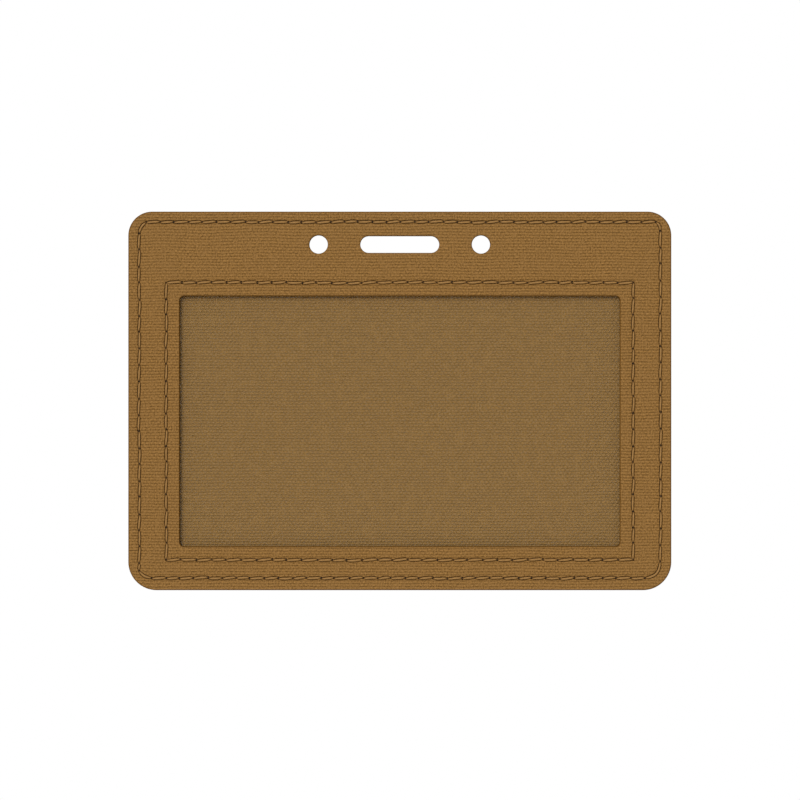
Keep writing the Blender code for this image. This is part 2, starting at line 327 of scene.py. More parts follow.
def panel_box(box, growth, bottom_radius, top_radius):
    """Outline of a box, grown all round, with round corners, or square ones where a radius is zero."""
    bottom_radius += growth if bottom_radius else 0
    top_radius += growth if top_radius else 0
    return rounded_box(grown(box, growth), bottom_radius, top_radius, CORNER_STEPS)


def holder_outline(growth):
    return panel_box((LEFT, RIGHT, BOTTOM, TOP), growth, BOTTOM_CORNER_RADIUS, TOP_CORNER_RADIUS)


def header_outline(growth):
    """The back strip above the card mouth."""
    return panel_box((LEFT, RIGHT, MOUTH_TOP, TOP), growth, 0, TOP_CORNER_RADIUS)


def pocket_back_outline(growth):
    """The back below the card mouth."""
    return panel_box((LEFT, RIGHT, BOTTOM, MOUTH_BOTTOM), growth, BOTTOM_CORNER_RADIUS, 0)


def window_outline(growth):
    radius = WINDOW_CORNER_RADIUS + growth
    return rounded_box(grown(WINDOW_BOX, growth), radius, radius, WINDOW_STEPS)


def film_outline(growth):
    radius = FILM_CORNER_RADIUS + growth
    return rounded_box(grown(FILM_BOX, growth), radius, radius, WINDOW_STEPS)


def mouth_outline(growth):
    """The slit in the lining behind the card mouth, as wide as the pocket."""
    box = (FILM_LOW.x - FILM_CLEARANCE, FILM_HIGH.x + FILM_CLEARANCE, MOUTH_BOTTOM, MOUTH_TOP)
    return rounded_box(grown(box, growth), 0, 0, WINDOW_STEPS)


def slot_outline(growth):
    """Two half circles."""
    radius = SLOT_HEIGHT / 2 + growth
    straight = (SLOT_LENGTH - SLOT_HEIGHT) / 2
    points = []
    for centre, start in ((straight, -90), (-straight, 90)):
        for step in range(2 * HOLE_STEPS + 1):
            angle = math.radians(start + 90 * step / HOLE_STEPS)
            points.append(Vector((centre + radius * math.cos(angle), radius * math.sin(angle))))
    return points


def strap_hole_outline(side):
    """A function that gives the outline of the strap hole on this side, -1 or 1."""

    def outline(growth):
        centre = side * STRAP_HOLE_SPACING / 2
        radius = STRAP_HOLE_DIAMETER / 2 + growth
        steps = 4 * HOLE_STEPS
        turns = [2 * math.pi * step / steps for step in range(steps)]
        return [Vector((centre + radius * math.cos(turn), radius * math.sin(turn))) for turn in turns]

    return outline


PUNCHED = (slot_outline, strap_hole_outline(-1), strap_hole_outline(1))


def seam_holes(corners, across, down):
    """A seam's needle holes (x, z, bow, size share), from the (corner, bow) pairs of its closed path.

    Each hole lies a little off its even place. The bow is how far the stitch from it to the next hole bends
    outwards. A run whose corner has a bow is one stitch that turns the corner."""
    draw = random.Random(SEAM_SEED)
    holes = []
    for index, (start, corner_bow) in enumerate(corners):
        end = corners[(index + 1) % len(corners)][0]
        run = end - start
        along = run.normalized()
        sideways = Vector((along.y, -along.x))
        stitch = across if abs(run.x) > abs(run.y) else down
        count = 1 if corner_bow else max(1, round(run.length / stitch))
        for number in range(count):
            place = start + run * number / count
            if number:
                place += along * draw.uniform(-HOLE_JITTER_ALONG, HOLE_JITTER_ALONG)
                place += sideways * draw.uniform(-HOLE_JITTER_ACROSS, HOLE_JITTER_ACROSS)
            bow = draw.uniform(-STITCH_BOW, STITCH_BOW)
            size_share = draw.uniform(*NEEDLE_HOLE_SIZE_SHARES)
            holes.append(Vector((*place, corner_bow or bow, size_share)))
    return holes


def outer_seam():
    left, right = LEFT + SEAM_SIDE_INSET, RIGHT - SEAM_SIDE_INSET
    bottom, top = BOTTOM + SEAM_BOTTOM_INSET, TOP - SEAM_TOP_INSET
    corners = [
        (Vector((left + BOTTOM_LEFT_CUT[0], bottom)), 0),
        (Vector((right - BOTTOM_RIGHT_CUT[0], bottom)), BOTTOM_RIGHT_CUT_BOW),
        (Vector((right, bottom + BOTTOM_RIGHT_CUT[1])), 0),
        (Vector((right, top - TOP_RIGHT_CUT[1])), TOP_CUT_BOW),
        (Vector((right - TOP_RIGHT_CUT[0], top)), 0),
        (Vector((left + TOP_LEFT_CUT[0], top)), TOP_CUT_BOW),
        (Vector((left, top - TOP_LEFT_CUT[1])), 0),
        (Vector((left, bottom + BOTTOM_LEFT_CUT[1] + HALF_STITCH)), 0),
        (Vector((left, bottom + BOTTOM_LEFT_CUT[1])), BOTTOM_LEFT_CUT_BOW),
    ]
    return seam_holes(corners, OUTER_STITCH_ACROSS, OUTER_STITCH_DOWN)


def window_seam():
    corners = rounded_box(grown(WINDOW_BOX, WINDOW_SEAM_OFFSET), 0, 0, 1)
    return seam_holes([(corner, 0) for corner in corners], WINDOW_STITCH_ACROSS, WINDOW_STITCH_DOWN)


def stitch_point(start, end, bow, share):
    """A point on a stitch, which bows outwards and leans a little across the seam."""
    run = end - start
    along = run.normalized()
    outward = Vector((along.y, -along.x))
    from_hole = min(share, 1 - share) * run.length
    lean = (STITCH_LEAN_UPRIGHT * along.y**2 - STITCH_LEAN_ACROSS * along.x**2) * (2 * share - 1)
    lean *= smooth(0, STITCH_LEAN_LENGTH, from_hole)
    return start.lerp(end, share) + (bow * math.sin(math.pi * share) + lean) * outward


def stitch_normal(start, end, bow, share):
    """Outward from a stitch's bowed line, on a path that runs anticlockwise."""
    run = end - start
    along = run.normalized()
    slope = math.pi * bow * math.cos(math.pi * share) / run.length
    return (Vector((along.y, -along.x)) - slope * along).normalized()


def mitre_of(first, second):
    """The direction between two normals, long enough for an offset line to keep its distance on both."""
    return (first + second) / (1 + first.dot(second))


def neighbours(holes, index, closed):
    """The holes before and after this one. At an open end, the path is taken to run straight on."""
    here = holes[index]
    before = holes[index - 1] if closed or index > 0 else None
    after = holes[(index + 1) % len(holes)] if closed or index < len(holes) - 1 else None
    return before or 2 * here - after, after or 2 * here - before


def path_samples(seam, closed, steps, middle_shares):
    """The Samples along a seam.

    Near a hole they lie at the given steps from it, in millimetres, and between two holes at the given
    shares. Sideways directions turn evenly from stitch to stitch, so that a band along the seam has no
    folds."""
    holes = [Vector(hole[:2]) for hole in seam]
    around = [neighbours(holes, index, closed) for index in range(len(holes))]
    bows = [(seam[index - 1].z, seam[index].z) for index in range(len(holes))]
    if not closed:
        bows[0] = (0, bows[0][1])
        bows[-1] = (bows[-1][0], 0)
    mitres = []
    for hole, (before, after), (bow_before, bow_after) in zip(holes, around, bows):
        first = stitch_normal(before, hole, bow_before, 1)
        mitres.append(mitre_of(first, stitch_normal(hole, after, bow_after, 0)))
    samples = []

    def sample(index, share):
        """Adds the Sample at this share of the stitch after a hole, or of the one before it if negative."""
        if share < 0:
            start, end, bow = around[index][0], holes[index], bows[index][0]
            share += 1
            nearest = index
        else:
            start, end, bow = holes[index], around[index][1], bows[index][1]
            nearest = index if share <= 0.5 else (index + 1) % len(holes)
        normal = stitch_normal(start, end, bow, share)
        sideways = normal.lerp(mitres[nearest], abs(2 * share - 1))
        from_hole = min(share, 1 - share) * (end - start).length
        samples.append(Sample(stitch_point(start, end, bow, share), sideways, from_hole, seam[nearest].w))

    def shares_of(length):
        return [step * MM / length for step in steps if step * MM / length < middle_shares[0]]

    for index, (before, after) in enumerate(around):
        back, ahead = (holes[index] - before).length, (after - holes[index]).length
        for share in reversed(shares_of(back)):
            sample(index, -share)
        for share in [0] + shares_of(ahead):
            sample(index, share)
        if closed or index < len(holes) - 1:
            for share in middle_shares:
                sample(index, share)
    return samples


def widening(sample):
    """How many times wider than upright stitches the seam is here. It is widest where it runs across."""
    return 1 + ACROSS_WIDENING_SHARE * sample.sideways.normalized().y ** 2


def seam_depth(from_hole, sideways, hole_size_share):
    """How far the leatherette is pressed in at this distance along and across the seam."""
    radius = math.hypot(from_hole, sideways)
    opening = smooth(0, CHANNEL_OPENING_LENGTH, from_hole)
    half_width = CHANNEL_END_HALF_WIDTH + (CHANNEL_HALF_WIDTH - CHANNEL_END_HALF_WIDTH) * opening
    channel = CHANNEL_DEPTH * (1 - smooth(half_width - CHANNEL_WALL_WIDTH, half_width, abs(sideways)))
    hole_radius = radius / hole_size_share
    hole = NEEDLE_HOLE_DEPTH * (1 - smooth(NEEDLE_HOLE_FLOOR_RADIUS, NEEDLE_HOLE_RADIUS, hole_radius))
    fade = 1 - smooth(PILLOW_START, PILLOW_END, abs(sideways))
    pillow = PILLOW_DEPTH * fade
    pucker = PUCKER_DEPTH * (1 - smooth(0, PUCKER_RADIUS, radius)) * fade
    return max(channel, hole) + pillow + pucker


def new_mesh():
    """An empty mesh that can hold, for each vertex, how much painted shade it gets from how deep it lies in a
    channel or needle hole, from 0 to 1.
    """
    bm = bmesh.new()
    bm.verts.layers.float.new(HOLE_SHADE)
    return bm


def ring_of(bm, points, y):
    return [bm.verts.new((x, y, z)) for x, z in points]


def bridge(bm, first, second, closed=True, slot=FINISHED_SLOT):
    """A band of faces between two rows of as many vertices."""
    count = len(first)
    for index in range(count if closed else count - 1):
        after = (index + 1) % count
        face = bm.faces.new((first[index], first[after], second[after], second[index]))
        face.material_index = slot


def between_loops(points, places, edges):
    """Which points lie between the loops. A line to the right of one crosses an odd number of edges."""
    inside = numpy.zeros(len(points), dtype=bool)
    across, up = points.T
    for first, second in edges:
        (x1, z1), (x2, z2) = places[first], places[second]
        if z1 != z2:
            passed = (up < z1) != (up < z2)
            inside ^= passed & (across < x1 + (up - z1) * (x2 - x1) / (z2 - z1))
    return inside


def fill(bm, loops, slot=FINISHED_SLOT):
    """Flat triangles inside the first loop, with the other loops as holes in it. No two loops may cross."""
    verts = [vert for loop in loops for vert in loop]
    places = [Vector((vert.co.x, vert.co.z)) / MM for vert in verts]
    edges = []
    for loop in loops:
        first = len(edges)
        edges += [(first + index, first + (index + 1) % len(loop)) for index in range(len(loop))]
    faces, sources = geometry.delaunay_2d_cdt(places, edges, [], FILL_ALL_INSIDE, FILL_TOLERANCE_MM)[2:4]
    triangles = [[sources[corner][0] for corner in face] for face in faces]
    middles = numpy.array([[places[corner] for corner in triangle] for triangle in triangles]).mean(axis=1)
    for triangle, kept in zip(triangles, between_loops(middles, places, edges)):
        if kept:
            face = bm.faces.new([verts[corner] for corner in triangle])
            face.material_index = slot


def edge_rings(bm, shape, direction, rim, face, thickness, inward):
    """A cut edge with a rounded rim. Returns its loops in the finished surface and in the hidden one.

    direction is -1 round an outline and 1 round an opening, towards the material."""
    rings = [ring_of(bm, shape(-direction * rim.slant), face + inward * thickness)]
    for step in range(RIM_STEPS + 1):
        angle = math.radians(90 * step / RIM_STEPS)
        inset = rim.width * (1 - math.cos(angle))
        depth = rim.depth * (1 - math.sin(angle))
        rings.append(ring_of(bm, shape(direction * inset), face + inward * depth))
    rings.append(ring_of(bm, shape(direction * (rim.width + SUPPORT_WIDTH)), face))
    for index, (first, second) in enumerate(zip(rings, rings[1:])):
        bridge(bm, first, second, slot=CUT_SLOT if index < rim.cut_bands else FINISHED_SLOT)
    return rings[-1], rings[0]


def seam_band(bm, holes, closed, face, inward):
    """The strip of leatherette along a seam, pressed in as seam_depth says.

    Returns its outer and inner loops where the seam is closed, or its one loop where it isn't."""
    samples = path_samples(holes, closed, BAND_STEPS_MM, BAND_MIDDLE_SHARES)
    hole_shade = bm.verts.layers.float[HOLE_SHADE]
    offsets = [offset * MM for offset in BAND_OFFSETS_MM]
    offsets += [0.0] + [-offset for offset in reversed(offsets)]
    rows = []
    for offset in offsets:
        row = []
        for sample in samples:
            x, z = sample.point + sample.sideways * offset
            depth = seam_depth(sample.from_hole, offset / widening(sample), sample.hole_size_share)
            vert = bm.verts.new((x, face + inward * depth, z))
            # Painted shade, from how deep the leatherette is pressed in
            vert[hole_shade] = smooth(HOLE_SHADE_START, HOLE_SHADE_END, depth)
            row.append(vert)
        rows.append(row)
    for first, second in zip(rows, rows[1:]):
        bridge(bm, first, second, closed)
    if closed:
        return rows[0], rows[-1]
    start = [row[0] for row in rows[1:-1]]
    end = [row[-1] for row in rows[1:-1]]
    return rows[0] + end + rows[-1][::-1] + start[::-1]


def mesh_object(bm, name):
    bmesh.ops.recalc_face_normals(bm, faces=bm.faces)
    mesh = bpy.data.meshes.new(name)
    bm.to_mesh(mesh)
    bm.free()
    mesh.shade_smooth()
    mesh.set_sharp_from_angle(angle=math.radians(SHARP_DEGREES))
    obj = bpy.data.objects.new(name, mesh)
    bpy.context.scene.collection.objects.link(obj)
    return obj


def dress(obj, slot, node, *materials):
    """Gives a piece its materials and its body, and hides the CAD node that it stands for. Its record slot is
    not used.
    """
    for material in materials:
        obj.data.materials.append(material)
    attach(obj, PIECE_BODY)
    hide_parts(node)


def make_face(leather, edge):
    bm = new_mesh()
    face, thickness = FACE_LOW.y, FACE_HIGH.y - FACE_LOW.y
    outline = edge_rings(bm, holder_outline, -1, OUTLINE_RIM, face, thickness, 1)
    window = edge_rings(bm, window_outline, 1, WINDOW_RIM, face, thickness, 1)
    punched = [edge_rings(bm, shape, 1, PUNCHED_RIM, face, thickness, 1) for shape in PUNCHED]
    outer_band = seam_band(bm, outer_seam(), True, face, 1)
    window_band = seam_band(bm, window_seam(), True, face, 1)
    fill(bm, [outline[0], outer_band[0]])
    fill(bm, [outer_band[1], window_band[0]] + [rim[0] for rim in punched])
    fill(bm, [window_band[1], window[0]])
    fill(bm, [outline[1], window[1]] + [rim[1] for rim in punched], CUT_SLOT)
    dress(mesh_object(bm, "face_leatherette"), "leatherette", "front_panel", leather, edge)


def make_back_header(holes, leather, edge):
    bm = new_mesh()
    face, thickness = BACK_HEADER_HIGH.y, BACK_HEADER_HIGH.y - BACK_HEADER_LOW.y
    outline = edge_rings(bm, header_outline, -1, OUTLINE_RIM, face, thickness, -1)
    punched = [edge_rings(bm, shape, 1, PUNCHED_RIM, face, thickness, -1) for shape in PUNCHED]
    band = seam_band(bm, holes, False, face, -1)
    fill(bm, [outline[0], band] + [rim[0] for rim in punched])
    fill(bm, [outline[1]] + [rim[1] for rim in punched], CUT_SLOT)
    dress(mesh_object(bm, "back_header_leatherette"), "leatherette", "back_header", leather, edge)


def make_back_panel(holes, leather, edge):
    bm = new_mesh()
    face, thickness = BACK_PANEL_HIGH.y, BACK_PANEL_HIGH.y - BACK_PANEL_LOW.y
    outline = edge_rings(bm, pocket_back_outline, -1, OUTLINE_RIM, face, thickness, -1)
    band = seam_band(bm, holes, False, face, -1)
    fill(bm, [outline[0], band])
    fill(bm, [outline[1]], CUT_SLOT)
    dress(mesh_object(bm, "back_panel_leatherette"), "leatherette", "back_panel", leather, edge)


def back_seam_runs(holes):
    """The outer seam's holes that lie in the back strip and in the pocket's back, each in path order.

    The holes start at the bottom left, so the pocket's back has the first and the last of them."""
    margin = OUTLINE_RIM.width + SUPPORT_WIDTH + BAND_STEPS_MM[-1] * MM + SUPPORT_WIDTH
    header = [hole for hole in holes if hole.y > MOUTH_TOP + margin]
    low = [hole.y < MOUTH_BOTTOM - margin for hole in holes]
    first_high = low.index(False)
    last_high = len(low) - 1 - low[::-1].index(False)
    pocket = holes[last_high + 1 :] + holes[:first_high]
    return header, pocket


def patch(bm, box, y, shape):
    """A grid of cells over the box, moved along Y by shape(x, z). Returns its boundary loop."""
    left, right, bottom, top = box
    across = max(2, round((right - left) / PATCH_CELL))
    up = max(2, round((top - bottom) / PATCH_CELL))
    columns = [left + (right - left) * number / across for number in range(across + 1)]
    rows = []
    for number in range(up + 1):
        z = bottom + (top - bottom) * number / up
        rows.append([bm.verts.new((x, y + shape(x, z), z)) for x in columns])
    for first, second in zip(rows, rows[1:]):
        bridge(bm, first, second, closed=False)
    left_side = [row[0] for row in rows[1:-1]]
    right_side = [row[-1] for row in rows[1:-1]]
    return rows[0] + right_side + rows[-1][::-1] + left_side[::-1]


def edge_fade(box, x, z, width):
    """0 on the box's boundary, rising to 1 at this distance inside it."""
    left, right, bottom, top = box
    return smooth(0, width, min(x - left, right - x, z - bottom, top - z))


def rippled(box, bow, ripple, length, seed):
    """A shape for patch: a gentle bow backwards with soft ripples, and flat along the box's boundary."""
    width = min(box[1] - box[0], box[3] - box[2]) / 2

    def shape(x, z):
        wave = noise.noise(Vector((x / length, seed, z / length)))
        return edge_fade(box, x, z, width) * bow + edge_fade(box, x, z, length) * ripple * wave

    return shape


def make_sheet(name, outline, openings, front_y, back_y, box, shape):
    """A thin sheet with square edges, whose front and back follow the same shape inside the box."""
    bm = bmesh.new()
    loops = []
    for y in (front_y, back_y):
        rings = [ring_of(bm, edge(0), y) for edge in (outline, *openings)]
        fill(bm, [rings[0], patch(bm, box, y, shape)] + rings[1:])
        loops.append(rings)
    for first, second in zip(*loops):
        bridge(bm, first, second)
    return mesh_object(bm, name)


def make_film(material):
    box = grown(FILM_BOX, -PATCH_MARGIN)
    shape = rippled(box, FILM_BOW, FILM_RIPPLE, FILM_RIPPLE_LENGTH, FILM_RIPPLE_SEED)
    film = make_sheet("clear_window", film_outline, (), FILM_LOW.y, FILM_HIGH.y, box, shape)
    dress(film, "clear_film", "window_film", material)


def make_lining(material):
    box = grown(FILM_BOX, -PATCH_MARGIN)
    box = (box[0], box[1], box[2], MOUTH_BOTTOM - PATCH_MARGIN)
    shape = rippled(box, 0, LINING_RIPPLE, LINING_RIPPLE_LENGTH, LINING_RIPPLE_SEED)
    openings = (mouth_outline, *PUNCHED)
    lining = make_sheet("woven_lining", holder_outline, openings, LINING_LOW.y, LINING_HIGH.y, box, shape)
    dress(lining, "lining", "pocket_lining", material)
    lining_area()


def area_of(points):
    """Area inside an outline."""
    total = 0.0
    for index, point in enumerate(points):
        after = points[(index + 1) % len(points)]
        total += point.x * after.y - after.x * point.y
    return abs(total) / 2


def lining_area():
    return area_of(holder_outline(0)) - sum(area_of(shape(0)) for shape in (mouth_outline, *PUNCHED))


def dive_share(from_hole):
    """How far down its needle hole the thread has gone, from 0 on a stitch to 1 in the hole."""
    return math.exp(-((from_hole / THREAD_DIVE_LENGTH) ** THREAD_DIVE_SHARPNESS))


def mouth_dip(point):
    """How much lower the back thread lies at this point (x, z), near and in the card mouth."""
    past_bottom = smooth(MOUTH_BOTTOM - MOUTH_DIP_OUTSIDE, MOUTH_BOTTOM + MOUTH_DIP_INSIDE, point.y)
    past_top = smooth(MOUTH_TOP - MOUTH_DIP_INSIDE, MOUTH_TOP + MOUTH_DIP_OUTSIDE, point.y)
    return MOUTH_DIP * past_bottom * (1 - past_top)


def thread_centre(sample, surface, outwards, lowered):
    """The middle of the thread at a sample. It lies in its channel and dives into each needle hole."""
    crest = THREAD_CREST - THREAD_RADIUS * widening(sample)
    height = crest - (THREAD_DIVE + crest) * dive_share(sample.from_hole)
    if lowered:
        height -= lowered(sample.point)
    return Vector((sample.point.x, surface + outwards * height, sample.point.y))


def thread_ring(bm, centre, along, sample, travelled):
    """A ring of vertices round the thread, with a lobe for each ply. The lobes turn along the thread."""
    side = Vector((sample.sideways.x, 0, sample.sideways.y)).normalized()
    side = (side - along * side.dot(along)).normalized()
    up = along.cross(side)
    neck = 1 - THREAD_NECK_SHARE * math.exp(-((sample.from_hole / THREAD_NECK_LENGTH) ** 2))
    width = neck * widening(sample)
    twist = 2 * math.pi * travelled / PLY_TWIST / THREAD_PLIES
    ring = []
    for number in range(THREAD_SIDES):
        angle = 2 * math.pi * number / THREAD_SIDES
        lobe = math.cos(THREAD_PLIES * (angle - twist))
        radius = THREAD_RADIUS * width * (1 - PLY_BULGE_SHARE + PLY_BULGE_SHARE * lobe)
        vert = bm.verts.new(centre + radius * (math.cos(angle) * side + math.sin(angle) * up))
        # Painted shade, as the thread dives into its hole
        vert[bm.verts.layers.float[HOLE_SHADE]] = dive_share(sample.from_hole) ** 2
        ring.append(vert)
    return ring


def make_thread(name, node, holes, surface, outwards, material, lowered=None):
    """One endless thread through every hole of a seam, twisted from plies, seen as a row of stitches.

    outwards is the way it faces along Y, and lowered gives how much lower it lies at a point."""
    bm = new_mesh()
    samples = path_samples(holes, True, THREAD_STEPS_MM, THREAD_MIDDLE_SHARES)
    centres = [thread_centre(sample, surface, outwards, lowered) for sample in samples]
    rings = []
    travelled = 0.0
    for index, centre in enumerate(centres):
        if index > 0:
            travelled += (centre - centres[index - 1]).length
        along = (centres[(index + 1) % len(centres)] - centres[index - 1]).normalized()
        rings.append(thread_ring(bm, centre, along, samples[index], travelled))
    for index, ring in enumerate(rings):
        bridge(bm, ring, rings[(index + 1) % len(rings)])
    dress(mesh_object(bm, name), "thread", node, material)


def new_material(name):
    material = bpy.data.materials.new(name)
    material.use_nodes = True
    return material, material.node_tree, material.node_tree.nodes["Principled BSDF"]


def connect(tree, socket, value):
    """Feeds a socket from another node's output, or sets it to a plain value."""
    if isinstance(value, bpy.types.NodeSocket):
        tree.links.new(value, socket)
    else:
        socket.default_value = value


def calc(tree, operation, *values):
    node = tree.nodes.new("ShaderNodeMath")
    node.operation = operation
    for socket, value in zip(node.inputs, values):
        connect(tree, socket, value)
    return node.outputs[0]


def object_coordinates(tree):
    """The shaded point in the object's own frame, in metres."""
    return tree.nodes.new("ShaderNodeTexCoord").outputs["Object"]


def cloud(tree, coordinates, size, detail=0.0, roughness=0.5, output="Fac"):
    """Soft noise, about 0.5 on average, with features of this size in metres."""
    node = tree.nodes.new("ShaderNodeTexNoise")
    node.inputs["Scale"].default_value = 1 / size
    node.inputs["Detail"].default_value = detail
    node.inputs["Roughness"].default_value = roughness
    connect(tree, node.inputs["Vector"], coordinates)
    return node.outputs[output]


def remap(tree, value, span, new_span=(0.0, 1.0)):
    """The value, with the ends of one span moved to the ends of another, and kept between them."""
    node = tree.nodes.new("ShaderNodeMapRange")
    numbers = zip(("From Min", "From Max", "To Min", "To Max"), (*span, *new_span))
    for name, number in numbers:
        node.inputs[name].default_value = number
    connect(tree, node.inputs["Value"], value)
    return node.outputs["Result"]


def colour_socket(sockets, name):
    """The socket of this name that holds a colour. A Mix node has more than one of each name."""
    return next(socket for socket in sockets if socket.name == name and socket.type == "RGBA")


def blend_colours(tree, share, first, second):
    node = tree.nodes.new("ShaderNodeMix")
    node.data_type = "RGBA"
    connect(tree, node.inputs["Factor"], share)
    for name, colour in (("A", first), ("B", second)):
        value = (*colour, 1.0) if isinstance(colour, tuple) else colour
        connect(tree, colour_socket(node.inputs, name), value)
    return colour_socket(node.outputs, "Result")


def wave_of(tree, value, pitch):
    """Rounded ridges of this pitch, 0 in the grooves and 1 on the crests."""
    return calc(tree, "ABSOLUTE", calc(tree, "SINE", calc(tree, "MULTIPLY", value, math.pi / pitch)))


def mixed(tree, share, first, second):
    """A plain mix of two heights, by a share from 0 to 1."""
    return calc(tree, "MULTIPLY_ADD", share, calc(tree, "SUBTRACT", second, first), first)


def strayed(tree, coordinates, x, z, size, across, up):
    """x and z, moved by at most half of across and of up, in soft waves of this size."""
    stray = cloud(tree, coordinates, size, detail=2.0, output="Color")
    parts = tree.nodes.new("ShaderNodeSeparateColor")
    connect(tree, parts.inputs[0], stray)
    x = calc(tree, "MULTIPLY_ADD", calc(tree, "SUBTRACT", parts.outputs[0], 0.5), across, x)
    z = calc(tree, "MULTIPLY_ADD", calc(tree, "SUBTRACT", parts.outputs[1], 0.5), up, z)
    return x, z


def weave_height(tree, coordinates, kind):
    """Height of a weave, about 0 to 1.5: rows, with knots that step half a pitch from row to row.

    The grain on top adds or takes at most half its share."""
    split = tree.nodes.new("ShaderNodeSeparateXYZ")
    connect(tree, split.inputs[0], coordinates)
    x, z = split.outputs["X"], split.outputs["Z"]
    x, z = strayed(tree, coordinates, x, z, DRIFT_SIZE, kind.drift, kind.drift)
    x, z = strayed(tree, coordinates, x, z, kind.stray_size, kind.stray_across, kind.stray_up)
    rows = wave_of(tree, z, ROW_PITCH)
    columns = wave_of(tree, x, COLUMN_PITCH)
    row_number = calc(tree, "FLOOR", calc(tree, "DIVIDE", z, ROW_PITCH))
    turn = calc(tree, "MULTIPLY_ADD", row_number, 0.5, calc(tree, "DIVIDE", x, KNOT_PITCH))
    knots = calc(tree, "COSINE", calc(tree, "MULTIPLY", turn, 2 * math.pi))
    knotty = cloud(tree, coordinates, KNOTTY_PATCH_SIZE)
    knotty = remap(tree, knotty, KNOTTY_SPAN, kind.knot_shares)
    height = calc(tree, "MULTIPLY", rows, calc(tree, "MULTIPLY_ADD", knots, knotty, 1.0))
    upright = cloud(tree, coordinates, UPRIGHT_PATCH_SIZE)
    upright = remap(tree, upright, UPRIGHT_SPAN, (0.0, kind.column_share))
    height = mixed(tree, upright, height, columns)
    grain = cloud(tree, coordinates, GRAIN_SIZE)
    grain = remap(tree, grain, GRAIN_SPAN, (-0.5, 0.5))
    return calc(tree, "MULTIPLY_ADD", grain, kind.grain_share, height)


def bump(tree, height, distance, shader):
    node = tree.nodes.new("ShaderNodeBump")
    node.inputs["Strength"].default_value = 1.0
    node.inputs["Distance"].default_value = distance
    connect(tree, node.inputs["Height"], height)
    connect(tree, shader.inputs["Normal"], node.outputs["Normal"])


def with_painted_hole_shade(tree, colour, dark):
    """The colour, blended to a dark one as painted shade deep in channels and needle holes."""
    node = tree.nodes.new("ShaderNodeAttribute")
    node.attribute_name = HOLE_SHADE
    return blend_colours(tree, node.outputs["Fac"], colour, dark)


def leatherette_material():
    """Brown coated cloth, embossed with an uneven canvas grain."""
    material, tree, shader = new_material("leatherette")
    coordinates = object_coordinates(tree)
    height = weave_height(tree, coordinates, LEATHERETTE_WEAVE)
    patches = cloud(tree, coordinates, WORN_PATCH_SIZE)
    tone = remap(tree, height, LEATHERETTE_TONE_SPAN)
    grain = blend_colours(tree, tone, LEATHERETTE_GROOVE, LEATHERETTE_CREST)
    worn_share = remap(tree, patches, SOFT_SPAN, (0.0, LEATHERETTE_WORN_SHARE))
    worn = blend_colours(tree, worn_share, grain, LEATHERETTE_WORN)
    # The colour is darkened with painted shade deep in channels and needle holes
    connect(tree, shader.inputs["Base Color"], with_painted_hole_shade(tree, worn, LEATHERETTE_HOLE_SHADE))
    connect(tree, shader.inputs["Roughness"], remap(tree, height, (0.0, 1.0), LEATHERETTE_ROUGHNESS))
    shader.inputs["Specular IOR Level"].default_value = 0.2
    bump(tree, height, LEATHERETTE_BUMP, shader)
    return material


def cut_edge_and_shade_material():
    """Cut edge of the leatherette: smoother, darker and more orange, with a fine mottle. Its darkness is
    partly the edge's own finish and partly painted shade, for the thin dark lines along rims and openings.
    """
    material, tree, shader = new_material("cut_edge_and_painted_shade")
    mottle = cloud(tree, object_coordinates(tree), EDGE_MOTTLE_SIZE, detail=3.0)
    connect(tree, shader.inputs["Base Color"], blend_colours(tree, mottle, CUT_EDGE_AND_SHADE_DARK, CUT_EDGE_AND_SHADE_LIGHT))
    shader.inputs["Roughness"].default_value = 0.8
    shader.inputs["Specular IOR Level"].default_value = 0.0
    bump(tree, mottle, EDGE_BUMP, shader)
    return material


def lining_material():
    """Fine brown cloth, with a plain weave more regular than the leatherette's."""
    material, tree, shader = new_material("lining_weave")
    height = weave_height(tree, object_coordinates(tree), LINING_WEAVE)
    tone = remap(tree, height, LINING_TONE_SPAN)
    connect(tree, shader.inputs["Base Color"], blend_colours(tree, tone, LINING_GROOVE, LINING_CREST))
    shader.inputs["Roughness"].default_value = 0.75
    shader.inputs["Specular IOR Level"].default_value = 0.2
    bump(tree, height, LINING_BUMP, shader)
    return material


def film_material():
    """Clear soft vinyl, nearly colourless, glossier as it is seen more from the side."""
    material, tree, shader = new_material("clear_vinyl")
    haze = cloud(tree, object_coordinates(tree), FILM_HAZE_SIZE, detail=3.0)
    shader.inputs["Base Color"].default_value = (*FILM_COLOUR, 1.0)
    shader.inputs["IOR"].default_value = 1.5
    connect(tree, shader.inputs["Roughness"], remap(tree, haze, SOFT_SPAN, FILM_ROUGHNESS))
    slant = tree.nodes.new("ShaderNodeLayerWeight")
    slant.inputs["Blend"].default_value = 0.5
    gloss = calc(tree, "POWER", slant.outputs["Facing"], FILM_GLOSS_SHARPNESS)
    connect(tree, shader.inputs["Alpha"], remap(tree, gloss, (0.0, 1.0), (FILM_REFLECTION, 1.0)))
    bump(tree, haze, FILM_BUMP, shader)
    return material


def thread_material():
    """Tan bonded thread, mottled by its fine filaments."""
    material, tree, shader = new_material("tan_thread")
    filaments = cloud(tree, object_coordinates(tree), THREAD_FILAMENT_SIZE, detail=2.0)
    colour = blend_colours(tree, remap(tree, filaments, SOFT_SPAN), THREAD_DARK, THREAD_LIGHT)
    # The thread's colour is darkened with painted shade where it dives into a hole
    connect(tree, shader.inputs["Base Color"], with_painted_hole_shade(tree, colour, THREAD_HOLE_SHADE))
    shader.inputs["Roughness"].default_value = 0.55
    shader.inputs["Specular IOR Level"].default_value = 0.3
    shader.inputs["Sheen Weight"].default_value = 0.1
    bump(tree, filaments, THREAD_BUMP, shader)
    return material


